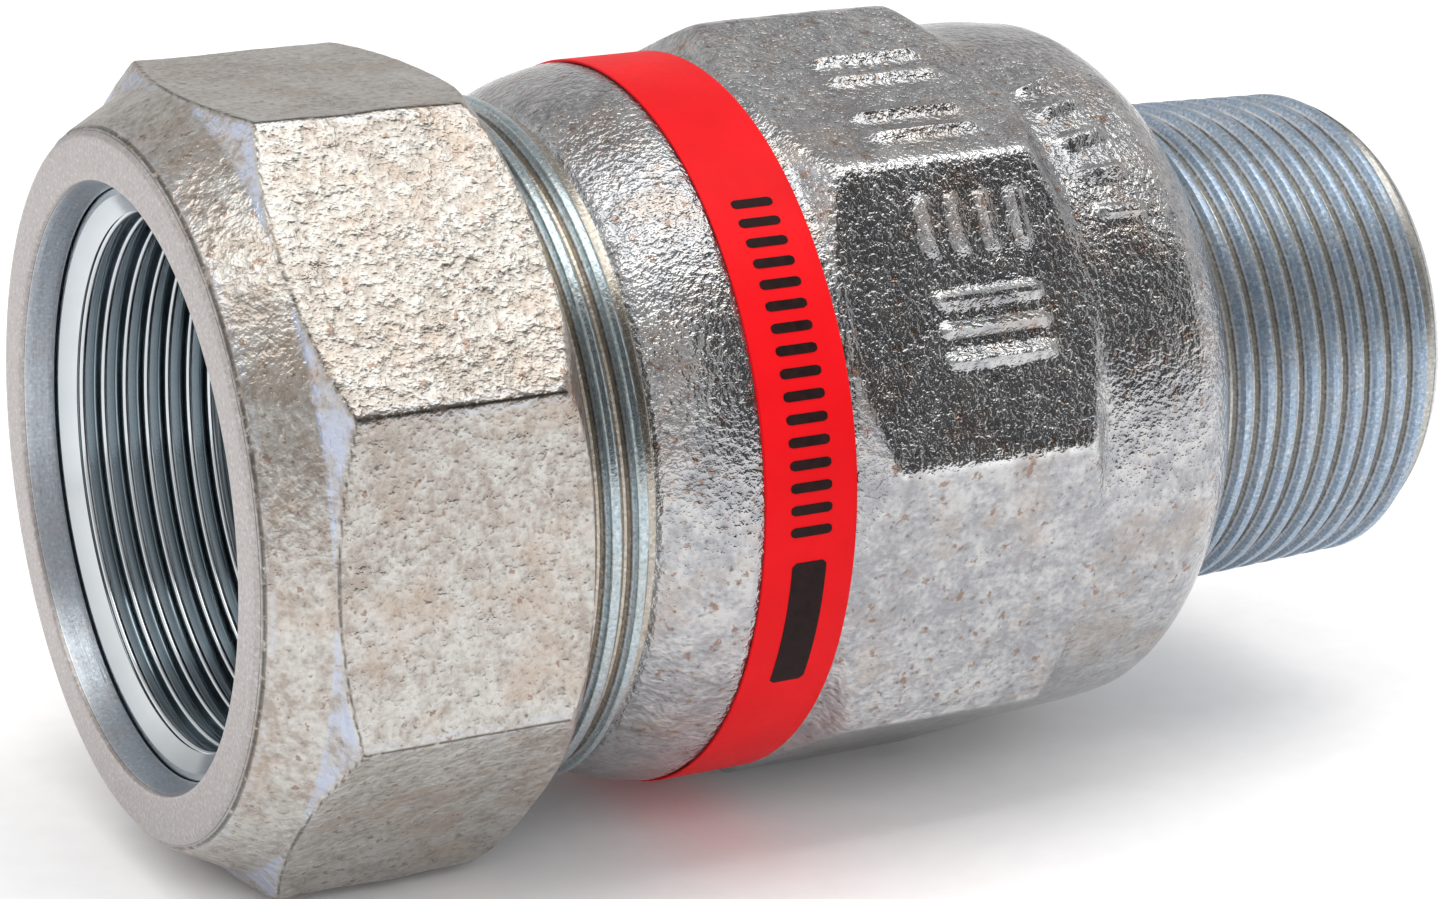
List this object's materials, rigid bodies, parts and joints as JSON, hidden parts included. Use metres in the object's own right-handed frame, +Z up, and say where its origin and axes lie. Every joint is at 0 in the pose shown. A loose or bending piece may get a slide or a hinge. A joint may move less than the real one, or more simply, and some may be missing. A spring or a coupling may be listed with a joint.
{
  "type": "pipe union",
  "caption": "Galvanised clamp connector for plain-ended steel pipe: octagonal union nut over a toothed split ring and rubber seal, octagonal body, male taper pipe thread.",
  "frame": {"origin": "on the fitting's axis, at mid-length: the middle of its bounding box", "axes": "+X along the axis from the nut's mouth to the threaded end; +Z up, square to the nut's top flat; the nut stands on the flat that faces -Z"},
  "size_m": [0.113, 0.064, 0.064],
  "materials": {
    "casting": "rough cast, hot-dip galvanised",
    "toothed_steel": "bright machined",
    "plated_steel": "zinc plated",
    "rubber": "matte",
    "red_film": "satin"
  },
  "bodies": {
    "ring_stack": {"clamp_ring": "toothed_steel", "thrust_ring": "plated_steel"},
    "connector_body": {"body": "casting", "seal_ring": "rubber", "colour_band": "red_film"},
    "union_nut": {"nut": "casting"}
  },
  "joints": [
    {"name": "body_travel", "type": "slide", "parent": "ring_stack", "child": "connector_body", "axis": [-1, 0, 0], "range_m": [-0.0081, 0.0029]},
    {"name": "nut_turn", "type": "hinge", "parent": "ring_stack", "child": "union_nut", "pos_m": [0, 0, 0], "axis": [1, 0, 0], "range_deg": [-1265, 455]}
  ],
  "couplings": [
    {"joint": "nut_turn", "follows": "body_travel", "rad_per_m": 2721.2}
  ]
}
